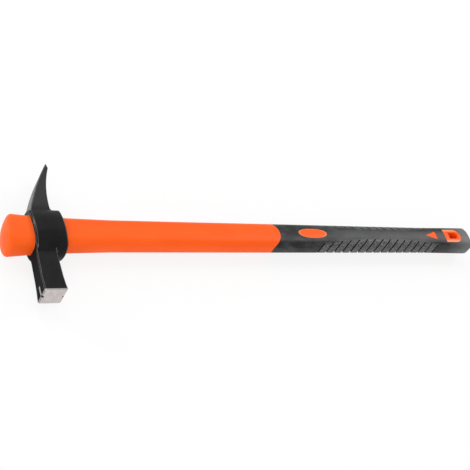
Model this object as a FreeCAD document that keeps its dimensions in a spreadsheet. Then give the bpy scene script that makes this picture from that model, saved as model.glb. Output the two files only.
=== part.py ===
import FreeCAD, Part
import math
import os

import Sketcher
from FreeCAD import Placement, Rotation, Vector

# Carpenter hammer lying on its side, in millimetres: the handle runs along X with the butt at +X,
# the claw points to +Y, the striking face to -Y, and +Z is up through the thickness of the head.
# The origin is the middle of the bottom of the whole hammer's box.
# Lengths along the handle are measured from the middle plane of the striking face, towards the butt.
# Lengths along the head are measured from the striking face, towards the claw.

NAME = "Sizes"

SIZES = {
    # whole hammer
    "overall_length": 556,
    "cap_reach": 33.6,
    "head_length": 142.5,
    "eye_distance": 67,
    # poll and striking face
    "face_width": 21.6,
    "face_thickness": 22.8,
    "face_shift": 0.6,
    "face_chamfer": 1.5,
    "face_flare_length": 21,
    "poll_thickness": 17.8,
    "poll_top_share": 0.33,
    "poll_blend_gap": 2,
    "poll_blend_radius": 7,
    "poll_blend_length": 6,
    "poll_edge_chamfer": 0.9,
    "poll_fillet": 2.5,
    # short grooves in the poll, from the striking face, that hold a nail while it is started
    "rest_groove_width": 2.4,
    "rest_groove_depth": 2.4,
    "rest_groove_length": 11,
    # boss round the eye: one oval of eight arcs
    "boss_top": 7.6,
    "boss_bottom": 22.3,
    "boss_height": 47,
    "boss_thickness": 35,
    "boss_flank_share": 1.9,
    "boss_end_share": 1.4,
    "boss_corner_share": 0.5,
    "boss_rim_chamfer": 1.2,
    # claw, whose places are measured from the boss
    "claw_root_width": 21.6,
    "claw_tip_width": 24.4,
    "claw_gap": 3,
    "claw_blend_length": 14,
    "claw_blend_share": 0.93,
    "claw_heel_gap": 16.5,
    "claw_heel_radius": 30,
    "claw_back_radius": 250,
    "claw_inner_offset": 14.1,
    "claw_bevel_offset": 22.4,
    "claw_bevel_length": 5,
    "claw_tip_offset": 21.4,
    "claw_tip_land": 0.6,
    "claw_edge_chamfer": 0.6,
    "claw_fillet": 2,
    # nail slot in the claw
    "slot_mouth": 10,
    "slot_root": 3,
    "slot_share": 0.6,
    "slot_bevel": 1.1,
    # handle section: one oval of eight arcs, scaled from station to station
    "flank_radius_share": 3.2,
    "end_radius_share": 3,
    "corner_radius_share": 0.74,
    # handle stations: place along the handle, height and thickness there
    "top_station": -38,
    "top_height": 40.8,
    "top_thickness": 30,
    "eye_top_height": 35.8,
    "eye_top_thickness": 26.4,
    "eye_bottom_height": 33,
    "eye_bottom_thickness": 24.2,
    "neck_station": 72,
    "neck_height": 30.6,
    "neck_thickness": 22.2,
    "shaft_station": 165,
    "shaft_height": 30.2,
    "shaft_thickness": 21.5,
    "grip_start_station": 240,
    "grip_start_height": 30,
    "grip_start_thickness": 21.1,
    "grip_upper_station": 300,
    "grip_upper_height": 29.7,
    "grip_upper_thickness": 20.7,
    "grip_lower_station": 452,
    "grip_lower_height": 28.6,
    "grip_lower_thickness": 19.8,
    "butt_height": 30,
    "butt_thickness": 20.9,
    # domed top end of the handle
    "dome_radius": 45,
    "dome_shift": 6.6,
    "dome_edge_fillet": 3.6,
    # bond between handle and eye
    "bond_thickness": 0.4,
    # fibreglass rod in the middle of the handle
    "rod_diameter": 11,
    "rod_top_cover": 9,
    "rod_end_station": 478,
    # rubber sleeve over the lower end of the handle
    "tongue_tip": 258.3,
    "tongue_radius": 17,
    "tongue_reach_share": 0.97,
    "sleeve_wall": 2.2,
    "sleeve_end_wall": 10.5,
    "butt_corner_radius": 10,
    "butt_edge_fillet": 6,
    # windows in the sleeve, filled by raised parts of the jacket
    "window_recess": 0.3,
    "lens_middle": 300,
    "lens_length": 36,
    "lens_width": 12.4,
    "arrow_tip": 455,
    "arrow_length": 16.5,
    "arrow_width": 11.4,
    "loop_start": 483.6,
    "loop_length": 24.2,
    "loop_width": 17.8,
    "loop_bow_share": 0.9,
    "hang_hole_start": 490,
    "hang_hole_length": 13.4,
    "hang_hole_width": 8.6,
    # slanted finger grooves along both edges of the sleeve
    "grooves": 16,
    "groove_start": 307,
    "groove_pitch": 10.5,
    "groove_width": 1.7,
    "groove_depth": 1.2,
    "groove_slope_share": 1.2,
    "groove_reach_middle": 8.6,
    "groove_reach_end": 3.2,
    # how far a cut runs past what it cuts
    "overrun": 4,
}

# Places that several pieces share, written as sums of the sizes above.
HEAD_X = "(Sizes.cap_reach - Sizes.overall_length / 2)"
FACE_Y = "(-Sizes.head_length / 2)"
AXIS_Y = "(Sizes.eye_distance - Sizes.head_length / 2)"
MIDDLE_Z = "(Sizes.boss_thickness / 2)"
BUTT = "(Sizes.overall_length - Sizes.cap_reach)"
CORE_END = "(Sizes.overall_length - Sizes.cap_reach - Sizes.sleeve_end_wall)"

TOP = ("Sizes.top_station", "Sizes.top_height", "Sizes.top_thickness")
EYE_TOP = ("(-Sizes.boss_top)", "Sizes.eye_top_height", "Sizes.eye_top_thickness")
EYE_BOTTOM = ("Sizes.boss_bottom", "Sizes.eye_bottom_height", "Sizes.eye_bottom_thickness")
NECK = ("Sizes.neck_station", "Sizes.neck_height", "Sizes.neck_thickness")
SHAFT = ("Sizes.shaft_station", "Sizes.shaft_height", "Sizes.shaft_thickness")
GRIP_START = ("Sizes.grip_start_station", "Sizes.grip_start_height", "Sizes.grip_start_thickness")
GRIP_UPPER = ("Sizes.grip_upper_station", "Sizes.grip_upper_height", "Sizes.grip_upper_thickness")
GRIP_LOWER = ("Sizes.grip_lower_station", "Sizes.grip_lower_height", "Sizes.grip_lower_thickness")
GRIP_BUTT = (BUTT, "Sizes.butt_height", "Sizes.butt_thickness")
CORE_BUTT = (CORE_END, "Sizes.butt_height", "Sizes.butt_thickness")

HEAD_END = [TOP, EYE_TOP, EYE_BOTTOM, NECK]
EYE = [EYE_TOP, EYE_BOTTOM]
LONG_RUN = [NECK, SHAFT, GRIP_START, GRIP_UPPER]
GRIP = [GRIP_START, GRIP_UPPER, GRIP_LOWER, GRIP_BUTT]
CORE = [GRIP_START, GRIP_UPPER, GRIP_LOWER, CORE_BUTT]

HANDLE_SHARES = ("Sizes.flank_radius_share", "Sizes.end_radius_share", "Sizes.corner_radius_share")
BOSS_SHARES = ("Sizes.boss_flank_share", "Sizes.boss_end_share", "Sizes.boss_corner_share")

doc = FreeCAD.newDocument("carpenter_hammer")
sheet = doc.addObject("Spreadsheet::Sheet", NAME)
for row, (alias, number) in enumerate(SIZES.items(), start=1):
    sheet.set(f"A{row}", alias.replace("_", " "))
    sheet.set(f"B{row}", str(number))
    sheet.setAlias(f"B{row}", alias)
doc.recompute()


def number_of(text):
    """Return the present value of an expression on the sheet."""
    return float(sheet.evalExpression(text))


# Bodies and sketches

def new_body(label, x, y, z):
    """Start a sub-part with its own place."""
    body = doc.addObject("PartDesign::Body", label)
    body.Label = label
    body.setExpression("Placement.Base.x", x)
    body.setExpression("Placement.Base.y", y)
    body.setExpression("Placement.Base.z", z)
    return body


def new_sketch(body, name, role, height="0", across="0", shift="0"):
    """Attach a sketch to one of the body's planes, lifted off it and moved along its x and y."""
    sketch = body.newObject("Sketcher::SketchObject", name)
    plane = next(item for item in body.Origin.OriginFeatures if item.Role == role)
    sketch.AttachmentSupport = [(plane, "")]
    sketch.MapMode = "FlatFace"
    sketch.setExpression("AttachmentOffset.Base.z", height)
    sketch.setExpression("AttachmentOffset.Base.x", across)
    sketch.setExpression("AttachmentOffset.Base.y", shift)
    return sketch


def bind(sketch, kind, places, text):
    """Add one dimension to a sketch and tie it to the sheet."""
    index = sketch.addConstraint(Sketcher.Constraint(kind, *places, number_of(text)))
    name = f"size_{index}"
    sketch.renameConstraint(index, name)
    sketch.setExpression(f"Constraints.{name}", text)


def corner(x, y, edge="line", radius="", left=True, tangent=False, fixed=True):
    """One corner of an outline, and the edge that leads from it to the next corner.

    The edge is a line or an arc. An arc has its centre on the left or the right of the way to the
    next corner. A tangent corner joins its two edges smoothly, and a corner that is not fixed is
    placed by the edges that meet there.
    """
    place = {"x": x, "y": y, "tangent": tangent, "fixed": fixed}
    return {**place, "edge": edge, "radius": radius, "left": left}


def rise_radius(run, rise):
    """Radius of an arc that leaves a straight line smoothly and rises off it over a given run."""
    return f"((({run})^2 + ({rise})^2) / (2 * ({rise})))"


def arc_between(first, last, radius, left):
    """Return the short arc between two points, drawn anticlockwise."""
    chord = last - first
    normal = Vector(-chord.y, chord.x, 0) if left else Vector(chord.y, -chord.x, 0)
    normal.normalize()
    rise = math.sqrt(max(radius ** 2 - (chord.Length / 2) ** 2, 0))
    centre = first + chord / 2 + normal * rise
    begin, finish = (first, last) if left else (last, first)
    angles = [math.atan2(point.y - centre.y, point.x - centre.x) for point in (begin, finish)]
    circle = Part.Circle(centre, Vector(0, 0, 1), radius)
    return Part.ArcOfCircle(circle, angles[0], angles[1])


def add_outline(sketch, corners):
    """Draw one closed outline whose corners and radii follow the sheet."""
    first = sketch.GeometryCount
    points = [Vector(number_of(item["x"]), number_of(item["y"]), 0) for item in corners]
    ends = []
    for index, item in enumerate(corners):
        begin = points[index]
        finish = points[(index + 1) % len(points)]
        if item["edge"] == "line":
            sketch.addGeometry(Part.LineSegment(begin, finish))
            ends.append((1, 2))
        else:
            sketch.addGeometry(arc_between(begin, finish, number_of(item["radius"]), item["left"]))
            ends.append((1, 2) if item["left"] else (2, 1))
    for index, item in enumerate(corners):
        before = index - 1 if index else len(corners) - 1
        joint = (first + before, ends[before][1], first + index, ends[index][0])
        kind = "Tangent" if item["tangent"] else "Coincident"
        sketch.addConstraint(Sketcher.Constraint(kind, *joint))
        if item["fixed"]:
            bind(sketch, "DistanceX", (-1, 1, first + index, ends[index][0]), item["x"])
            bind(sketch, "DistanceY", (-1, 1, first + index, ends[index][0]), item["y"])
        if item["edge"] == "arc":
            bind(sketch, "Radius", (first + index,), item["radius"])


def add_box(sketch, low_x, high_x, low_y, high_y):
    """Draw a rectangle between four expressions."""
    places = [(low_x, low_y), (high_x, low_y), (high_x, high_y), (low_x, high_y)]
    add_outline(sketch, [corner(x, y) for x, y in places])


def add_section(body, name, station, growth="0", axis="0", shares=HANDLE_SHARES):
    """Draw an oval of eight arcs at one station, grown outwards by the given length.

    The shares give the radii of its flanks, ends and corners.
    """
    place, height, thickness = station
    flank_share, end_share, corner_share = shares
    sketch = new_sketch(body, name, "YZ_Plane", place, axis)
    reach = f"({height} / 2 + {growth})"
    depth = f"({thickness} / 2 + {growth})"
    flank = f"({flank_share} * {height} / 2 + {growth})"
    end = f"({end_share} * {thickness} / 2 + {growth})"
    round_off = f"({corner_share} * {thickness} / 2 + {growth})"
    flank_centre = Vector(0, number_of(depth) - number_of(flank), 0)
    end_centre = Vector(number_of(reach) - number_of(end), 0, 0)
    near = number_of(end) - number_of(round_off)
    far = number_of(flank) - number_of(round_off)
    span = (end_centre - flank_centre).Length
    along = (far ** 2 - near ** 2 + span ** 2) / (2 * span)
    across = math.sqrt(far ** 2 - along ** 2)
    way = (end_centre - flank_centre) / span
    centre = flank_centre + way * along + Vector(way.y, -way.x, 0) * across
    steep = math.atan2(centre.y - flank_centre.y, centre.x - flank_centre.x)
    shallow = math.atan2(centre.y - end_centre.y, centre.x - end_centre.x)
    turns = [-shallow, shallow, steep, math.pi - steep, math.pi - shallow]
    turns += [math.pi + shallow, math.pi + steep, 2 * math.pi - steep, 2 * math.pi - shallow]
    signs = [(1, 0), (1, 1), (0, 1), (-1, 1), (-1, 0), (-1, -1), (0, -1), (1, -1)]
    for index, (side, rise) in enumerate(signs):
        if side and rise:
            middle, radius = Vector(centre.x * side, centre.y * rise, 0), number_of(round_off)
        elif side:
            middle, radius = end_centre * side, number_of(end)
        else:
            middle, radius = flank_centre * rise, number_of(flank)
        circle = Part.Circle(middle, Vector(0, 0, 1), radius)
        sketch.addGeometry(Part.ArcOfCircle(circle, turns[index], turns[index + 1]))
    for index in range(len(signs)):
        after = (index + 1) % len(signs)
        sketch.addConstraint(Sketcher.Constraint("Tangent", index, 2, after, 1))
    for index, (side, rise) in enumerate(signs):
        if side and rise:
            if index > 1:
                sketch.addConstraint(Sketcher.Constraint("Equal", 1, index))
        elif side:
            sketch.addConstraint(Sketcher.Constraint("PointOnObject", index, 3, -1))
            bind(sketch, "DistanceX", (-1, 1, index, 3), f"{side} * ({reach} - {end})")
        else:
            sketch.addConstraint(Sketcher.Constraint("PointOnObject", index, 3, -2))
            bind(sketch, "DistanceY", (-1, 1, index, 3), f"{rise} * ({depth} - {flank})")
    bind(sketch, "Radius", (1,), round_off)
    bind(sketch, "Radius", (0,), end)
    sketch.addConstraint(Sketcher.Constraint("Equal", 0, 4))
    bind(sketch, "Radius", (2,), flank)
    sketch.addConstraint(Sketcher.Constraint("Equal", 2, 6))
    return sketch


# Features

def loft(body, name, kind, stations, growth="0", axis="0"):
    """Add or take away the oval handle form, straight from station to station."""
    sections = [
        add_section(body, f"{name}_section_{index}", station, growth, axis)
        for index, station in enumerate(stations)
    ]
    doc.recompute()
    feature = body.newObject(kind, name)
    feature.Ruled = True
    feature.Profile = sections[0]
    feature.Sections = sections[1:]
    doc.recompute()
    return feature


def pad(body, name, sketch, length, backward="0"):
    """Extrude a sketch along its normal, and the other way if asked."""
    feature = body.newObject("PartDesign::Pad", name)
    feature.Profile = sketch
    feature.setExpression("Length", length)
    if backward != "0":
        feature.SideType = "Two sides"
        feature.setExpression("Length2", backward)
    doc.recompute()
    return feature


def cut_through(body, name, sketch):
    """Cut a sketch through everything on both sides of its plane."""
    feature = body.newObject("PartDesign::Pocket", name)
    feature.Profile = sketch
    feature.Type = "ThroughAll"
    feature.Midplane = True
    doc.recompute()
    return feature


def edges_where(feature, test):
    """Return the names of a feature's edges that pass a test."""
    edges = feature.Shape.Edges
    return [f"Edge{index}" for index, edge in enumerate(edges, start=1) if test(edge)]


def dress(body, kind, name, base, edges, setting, text):
    """Chamfer or fillet some edges of the body's last feature."""
    feature = body.newObject(kind, name)
    feature.Base = (base, edges)
    feature.setExpression(setting, text)
    doc.recompute()
    return feature


# The head: one forging with a square poll, a boss round the eye and a curved, split claw

head = new_body("hammer_head", HEAD_X, FACE_Y, MIDDLE_Z)

BOSS_START = "(Sizes.eye_distance - Sizes.boss_height / 2)"
BOSS_END = "(Sizes.eye_distance + Sizes.boss_height / 2)"
BOSS_FLANK = "(Sizes.boss_flank_share * Sizes.boss_height / 2)"
CLAW_START = f"({BOSS_END} + Sizes.claw_gap)"
CLAW_SUNK = f"({CLAW_START} - Sizes.claw_blend_length)"
HEEL_START = f"({BOSS_END} - Sizes.claw_heel_gap)"


def boss_depth_at(place):
    """Half thickness of the boss at one place on its flank, along the head."""
    sag = f"({BOSS_FLANK} - sqrt({BOSS_FLANK}^2 - ({place} - Sizes.eye_distance)^2))"
    return f"(Sizes.boss_thickness / 2 - {sag})"


def mirrored(half):
    """Close an outline that is the same on both sides of its x axis."""
    other = []
    for index in range(len(half) - 1, -1, -1):
        item = half[index]
        before = half[index - 1] if index else corner("0", "0")
        edge = {"edge": before["edge"], "radius": before["radius"], "left": before["left"]}
        other.append({**item, **edge, "y": f"-{item['y']}"})
    return half + other


# Seen along the handle: the head's thickness from the face to the tips of the claw.
flare_rise = "(Sizes.face_thickness - Sizes.poll_thickness) / 2"
BLEND_START = f"({BOSS_START} - Sizes.poll_blend_gap)"
blend_fall = "sqrt(Sizes.poll_blend_radius^2 - Sizes.poll_blend_length^2)"
blend_rise = f"(Sizes.poll_blend_radius - {blend_fall})"
claw_sunk_depth = f"(Sizes.claw_blend_share * {boss_depth_at(CLAW_SUNK)})"
claw_rise = f"{claw_sunk_depth} - Sizes.claw_root_width / 2"
FAR_END = "(Sizes.head_length + Sizes.overrun)"
SLOT_LENGTH = f"(Sizes.slot_share * (Sizes.head_length - {BOSS_END}))"
SLOT_END = f"(Sizes.head_length - {SLOT_LENGTH})"
slot_taper = f"(Sizes.slot_mouth - Sizes.slot_root) / 2 / {SLOT_LENGTH}"
SLOT_RADIUS = f"(Sizes.slot_root / 2 * sqrt(1 + ({slot_taper})^2))"
plan = [
    corner("(-Sizes.overrun)", "(Sizes.face_thickness / 2)"),
    corner("0", "(Sizes.face_thickness / 2)", "arc",
           rise_radius("Sizes.face_flare_length", flare_rise)),
    corner("Sizes.face_flare_length", "(Sizes.poll_thickness / 2)"),
    corner(BLEND_START, "(Sizes.poll_thickness / 2)", "arc", "Sizes.poll_blend_radius"),
    corner(f"({BLEND_START} + Sizes.poll_blend_length)", f"(Sizes.poll_thickness / 2 + {blend_rise})"),
    corner(CLAW_SUNK, claw_sunk_depth, "arc", rise_radius("Sizes.claw_blend_length", claw_rise)),
    corner(CLAW_START, "(Sizes.claw_root_width / 2)"),
    corner("Sizes.head_length", "(Sizes.claw_tip_width / 2)"),
    corner(FAR_END, "(Sizes.claw_tip_width / 2)"),
    corner(FAR_END, "(Sizes.slot_mouth / 2)"),
    corner("Sizes.head_length", "(Sizes.slot_mouth / 2)"),
    corner(SLOT_END, "(Sizes.slot_root / 2)", "arc", SLOT_RADIUS),
]
plan_sketch = new_sketch(head, "plan", "YZ_Plane", "(-Sizes.face_width)")
add_outline(plan_sketch, mirrored(plan))
doc.recompute()
pad(head, "head_blank", plan_sketch, "(Sizes.face_width + Sizes.claw_bevel_offset + Sizes.overrun)")

# Seen on the broad side: poll, heel and the curve of the claw, with all outside them cut away.
POLL_LOW = "(Sizes.face_shift - Sizes.face_width / 2)"
POLL_HIGH = "(Sizes.face_shift + Sizes.face_width / 2)"
POLL_TOP_END = "(Sizes.eye_distance - Sizes.poll_top_share * Sizes.boss_height)"
INNER_END = "(Sizes.head_length - Sizes.claw_bevel_length)"
inner_run = f"({INNER_END} - {CLAW_START})"
inner_rise = "Sizes.claw_bevel_offset - Sizes.claw_inner_offset"
LOW_SIDE = "(-Sizes.face_width - Sizes.overrun)"
HIGH_SIDE = "(Sizes.claw_bevel_offset + 2 * Sizes.overrun)"
HEEL_GUESS = f"({HEEL_START} + Sizes.claw_heel_radius / 3)"
profile_sketch = new_sketch(head, "side_profile", "XY_Plane")
add_box(profile_sketch, LOW_SIDE, HIGH_SIDE, "(-2 * Sizes.overrun)",
        "(Sizes.head_length + 2 * Sizes.overrun)")
add_outline(profile_sketch, [
    corner(POLL_LOW, "0"),
    corner(POLL_HIGH, "0"),
    corner(POLL_HIGH, "Sizes.eye_distance"),
    corner("Sizes.claw_inner_offset", "Sizes.eye_distance"),
    corner("Sizes.claw_inner_offset", CLAW_START, "arc", rise_radius(inner_run, inner_rise),
           left=False),
    corner("Sizes.claw_bevel_offset", INNER_END),
    corner("Sizes.claw_tip_offset", "Sizes.head_length"),
    corner("(Sizes.claw_tip_offset - Sizes.claw_tip_land)", "Sizes.head_length", "arc",
           "Sizes.claw_back_radius"),
    corner("(-Sizes.boss_top)", HEEL_GUESS, "arc", "Sizes.claw_heel_radius", tangent=True,
           fixed=False),
    corner("(-Sizes.boss_top)", HEEL_START, tangent=True),
    corner("(-Sizes.boss_top)", POLL_TOP_END),
])
doc.recompute()
forged = cut_through(head, "side_cut", profile_sketch)

SLACK = number_of("Sizes.overrun") / 8


def runs_along(edge, low, high):
    """Tell whether an edge runs along the head, between two places on it."""
    box = edge.BoundBox
    inside = box.YMin > number_of(low) - SLACK and box.YMax < number_of(high) + SLACK
    return inside and box.YLength > box.XLength / 2 + SLACK


def middle_of(edge):
    """Return the point halfway along an edge."""
    return edge.valueAt((edge.FirstParameter + edge.LastParameter) / 2)


def lies_at(edge, offset):
    """Tell whether an edge lies in one plane across the handle."""
    box = edge.BoundBox
    place = number_of(offset)
    return abs(box.XMin - place) < SLACK / 2 and abs(box.XMax - place) < SLACK / 2


poll_side = number_of("Sizes.poll_thickness / 2") - SLACK
poll_edges = edges_where(
    forged,
    lambda edge: runs_along(edge, "0", "Sizes.eye_distance") and abs(middle_of(edge).z) > poll_side,
)
softened = dress(head, "PartDesign::Chamfer", "poll_edges", forged, poll_edges, "Size",
                 "Sizes.poll_edge_chamfer")
claw_side = number_of("Sizes.claw_root_width / 2") - SLACK
claw_edges = edges_where(
    softened,
    lambda edge: runs_along(edge, CLAW_START, "Sizes.head_length")
    and abs(middle_of(edge).z) > claw_side
    and middle_of(edge).x < number_of("Sizes.claw_inner_offset") - SLACK,
)
dress(head, "PartDesign::Chamfer", "claw_edges", softened, claw_edges, "Size",
      "Sizes.claw_edge_chamfer")

boss_rims = [
    ("(-Sizes.boss_top)", "(-Sizes.boss_rim_chamfer)"),
    ("(Sizes.boss_rim_chamfer - Sizes.boss_top)", "0"),
    ("(Sizes.boss_bottom - Sizes.boss_rim_chamfer)", "0"),
    ("Sizes.boss_bottom", "(-Sizes.boss_rim_chamfer)"),
]
boss_sections = [
    add_section(head, f"boss_section_{index}", (place, "Sizes.boss_height", "Sizes.boss_thickness"),
                growth, "Sizes.eye_distance", BOSS_SHARES)
    for index, (place, growth) in enumerate(boss_rims)
]
doc.recompute()
boss = head.newObject("PartDesign::AdditiveLoft", "boss")
boss.Ruled = True
boss.Profile = boss_sections[0]
boss.Sections = boss_sections[1:]
doc.recompute()

poll_ring = edges_where(
    boss,
    lambda edge: lies_at(edge, POLL_HIGH)
    and edge.BoundBox.YMin > number_of(BOSS_START) - SLACK
    and edge.BoundBox.YMax < number_of("Sizes.eye_distance"),
)
poll_blend = dress(head, "PartDesign::Fillet", "poll_ring", boss, poll_ring, "Radius",
                   "Sizes.poll_fillet")
claw_ring = edges_where(
    poll_blend,
    lambda edge: lies_at(edge, "Sizes.claw_inner_offset")
    and edge.BoundBox.YMin > number_of("Sizes.eye_distance")
    and edge.BoundBox.YMax < number_of(CLAW_START),
)
claw_blend = dress(head, "PartDesign::Fillet", "claw_ring", poll_blend, claw_ring, "Radius",
                   "Sizes.claw_fillet")
slot_edges = edges_where(
    claw_blend,
    lambda edge: edge.BoundBox.YMin > number_of(SLOT_END) - number_of("Sizes.slot_root")
    and edge.BoundBox.YLength > SLACK
    and edge.BoundBox.XLength > SLACK / 4
    and abs(middle_of(edge).z) < number_of("Sizes.slot_mouth / 2")
    and middle_of(edge).x > number_of("Sizes.claw_inner_offset"),
)
bevelled = dress(head, "PartDesign::Chamfer", "slot_bevels", claw_blend, slot_edges, "Size",
                 "Sizes.slot_bevel")
face_edges = edges_where(bevelled, lambda edge: edge.BoundBox.YMax < SLACK)
dress(head, "PartDesign::Chamfer", "face_bevel", bevelled, face_edges, "Size",
      "Sizes.face_chamfer")

# The nail rests: one round-bottomed groove in each narrow side of the poll.
HALF_REST = "(Sizes.rest_groove_width / 2)"
REST_BOW = f"({HALF_REST} * Sizes.loop_bow_share)"
rest_sketch = new_sketch(head, "nail_rests", "XZ_Plane")
for outside, edge_place, way, turn in (
    (LOW_SIDE, POLL_LOW, "+", True),
    ("(Sizes.face_width + Sizes.overrun)", POLL_HIGH, "-", False),
):
    straight = f"({edge_place} {way} (Sizes.rest_groove_depth - {REST_BOW}))"
    add_outline(rest_sketch, [
        corner(outside, f"(-{HALF_REST})"),
        corner(straight, f"(-{HALF_REST})", "arc", rise_radius(HALF_REST, REST_BOW), left=turn),
        corner(straight, HALF_REST),
        corner(outside, HALF_REST),
    ])
doc.recompute()
rests = head.newObject("PartDesign::Pocket", "rest_grooves")
rests.Profile = rest_sketch
rests.setExpression("Length", "Sizes.rest_groove_length")
doc.recompute()

loft(head, "eye", "PartDesign::SubtractiveLoft", HEAD_END, "Sizes.bond_thickness",
     "Sizes.eye_distance")


# Outlines that the jacket and the sleeve share, drawn on the broad side of the handle

def tongue_corners(end, margin):
    """Outline of all that lies past the rounded tongue where the sleeve begins."""
    half = "(Sizes.tongue_reach_share * Sizes.tongue_radius)"
    start = f"(Sizes.tongue_tip - Sizes.tongue_radius + sqrt(Sizes.tongue_radius^2 - {half}^2))"
    side = f"(Sizes.tongue_radius + {margin})"
    return [
        corner(start, f"(-{half})", "arc", "Sizes.tongue_radius"),
        corner(start, half),
        corner(start, side),
        corner(end, side),
        corner(end, f"(-{side})"),
        corner(start, f"(-{side})"),
    ]


def lens_corners():
    """Outline of the lens-shaped window, pointed at both ends."""
    half = "(Sizes.lens_length / 2)"
    bow = rise_radius(half, "(Sizes.lens_width / 2)")
    return [
        corner(f"(Sizes.lens_middle - {half})", "0", "arc", bow),
        corner(f"(Sizes.lens_middle + {half})", "0", "arc", bow),
    ]


def arrow_corners():
    """Outline of the three-cornered window that points at the head."""
    base = "(Sizes.arrow_tip + Sizes.arrow_length)"
    half = "(Sizes.arrow_width / 2)"
    return [corner("Sizes.arrow_tip", "0"), corner(base, f"(-{half})"), corner(base, half)]


def loop_corners(start, length, width):
    """Outline with one flat side towards the head and a round end towards the butt."""
    half = f"({width} / 2)"
    bow = f"(Sizes.loop_bow_share * {half})"
    straight = f"({start} + {length} - {bow})"
    return [
        corner(start, f"(-{half})"),
        corner(straight, f"(-{half})", "arc", rise_radius(half, bow)),
        corner(straight, half),
        corner(start, half),
    ]


LOOP = ("Sizes.loop_start", "Sizes.loop_length", "Sizes.loop_width")
HANG_HOLE = ("Sizes.hang_hole_start", "Sizes.hang_hole_length", "Sizes.hang_hole_width")
PAST_BUTT = f"({BUTT} + Sizes.overrun)"
ROD_START = "(Sizes.rod_top_cover - Sizes.cap_reach)"
ROD_LENGTH = f"(Sizes.rod_end_station - {ROD_START})"


def add_windows(sketch):
    """Draw the three windows of the sleeve."""
    for outline in (lens_corners(), arrow_corners(), loop_corners(*LOOP)):
        add_outline(sketch, outline)


def rod_section(body, name, place):
    """Draw the round section of the rod at one place along the handle."""
    sketch = new_sketch(body, name, "YZ_Plane", place)
    circle = Part.Circle(Vector(0, 0, 0), Vector(0, 0, 1), number_of("Sizes.rod_diameter") / 2)
    sketch.addGeometry(circle)
    sketch.addConstraint(Sketcher.Constraint("Coincident", 0, 3, -1, 1))
    bind(sketch, "Diameter", (0,), "Sizes.rod_diameter")
    doc.recompute()
    return sketch


# The jacket: one moulding from the dome above the head to the core inside the sleeve

jacket = new_body("handle_jacket", HEAD_X, AXIS_Y, MIDDLE_Z)
jacket.AllowCompound = True
loft(jacket, "eye_length", "PartDesign::AdditiveLoft", HEAD_END)
loft(jacket, "shaft_length", "PartDesign::AdditiveLoft", LONG_RUN)

dome_sketch = new_sketch(jacket, "dome_profile", "XY_Plane", shift="(-Sizes.dome_shift)")
dome_reach = "(Sizes.top_height / 2 + Sizes.dome_shift + Sizes.overrun)"
dome_side = f"(Sizes.dome_radius - sqrt(Sizes.dome_radius^2 - {dome_reach}^2) - Sizes.cap_reach)"
above_dome = "(Sizes.top_station - Sizes.overrun)"
add_outline(dome_sketch, [
    corner("(-Sizes.cap_reach)", "0"),
    corner(above_dome, "0"),
    corner(above_dome, dome_reach),
    corner(dome_side, dome_reach, "arc", "Sizes.dome_radius"),
])
doc.recompute()
dome = jacket.newObject("PartDesign::Groove", "dome")
dome.Profile = dome_sketch
dome.ReferenceAxis = (dome_sketch, ["H_Axis"])
dome.Angle = 360
doc.recompute()
rim_start = -number_of("Sizes.cap_reach") + SLACK
rim_end = -number_of("Sizes.boss_top + Sizes.overrun")
dome_rim = edges_where(
    dome, lambda edge: edge.BoundBox.XMin > rim_start and edge.BoundBox.XMax < rim_end
)
dress(jacket, "PartDesign::Fillet", "dome_rim", dome, dome_rim, "Radius", "Sizes.dome_edge_fillet")

end_sketch = new_sketch(jacket, "tongue_outline", "XY_Plane")
add_outline(end_sketch, tongue_corners("(Sizes.grip_upper_station + Sizes.overrun)",
                                       "Sizes.overrun"))
doc.recompute()
cut_through(jacket, "tongue_cut", end_sketch)

loft(jacket, "window_height", "PartDesign::AdditiveLoft", GRIP, "(-Sizes.window_recess)")
window_sketch = new_sketch(jacket, "raised_outlines", "XY_Plane")
add_outline(window_sketch, tongue_corners(PAST_BUTT, "(2 * Sizes.overrun)"))
add_windows(window_sketch)
doc.recompute()
cut_through(jacket, "raised_parts", window_sketch)
loft(jacket, "core", "PartDesign::AdditiveLoft", CORE, "(-Sizes.sleeve_wall)")

bore = jacket.newObject("PartDesign::Pocket", "rod_bore")
bore.Profile = rod_section(jacket, "rod_bore_section", "Sizes.rod_end_station")
bore.setExpression("Length", ROD_LENGTH)
doc.recompute()

hole_sketch = new_sketch(jacket, "hang_hole_outline", "XY_Plane")
add_outline(hole_sketch, loop_corners(*HANG_HOLE))
doc.recompute()
cut_through(jacket, "hang_hole", hole_sketch)


# The rod: fills the bore of the jacket

rod = new_body("core_rod", HEAD_X, AXIS_Y, MIDDLE_Z)
pad(rod, "rod_length", rod_section(rod, "rod_section", ROD_START), ROD_LENGTH)


# The sleeve: rubber moulded round the core, with finger grooves in both of its edges

sleeve = new_body("grip_sleeve", HEAD_X, AXIS_Y, MIDDLE_Z)
loft(sleeve, "sleeve_form", "PartDesign::AdditiveLoft", GRIP)

groove_sketch = new_sketch(sleeve, "groove_outlines", "XY_Plane")
groove_side = "(-Sizes.butt_height / 2 - Sizes.overrun)"
for index in range(SIZES["grooves"]):
    bow = f"(4 * {index} * (Sizes.grooves - 1 - {index}) / (Sizes.grooves - 1)^2)"
    reach = f"(Sizes.groove_reach_end + (Sizes.groove_reach_middle - Sizes.groove_reach_end) * {bow})"
    start = f"(Sizes.groove_start + {index} * Sizes.groove_pitch)"
    inner_side = f"({reach} - Sizes.butt_height / 2)"
    outer_place = f"({start} - Sizes.groove_slope_share * Sizes.overrun)"
    inner_place = f"({start} + Sizes.groove_slope_share * {reach})"
    add_outline(groove_sketch, [
        corner(outer_place, groove_side),
        corner(f"({outer_place} + Sizes.groove_width)", groove_side),
        corner(f"({inner_place} + Sizes.groove_width)", inner_side),
        corner(inner_place, inner_side),
    ])
doc.recompute()
low_grooves = cut_through(sleeve, "groove_cut", groove_sketch)
both_grooves = doc.addObject("PartDesign::Mirrored", "groove_pair")
both_grooves.Originals = [low_grooves]
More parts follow.
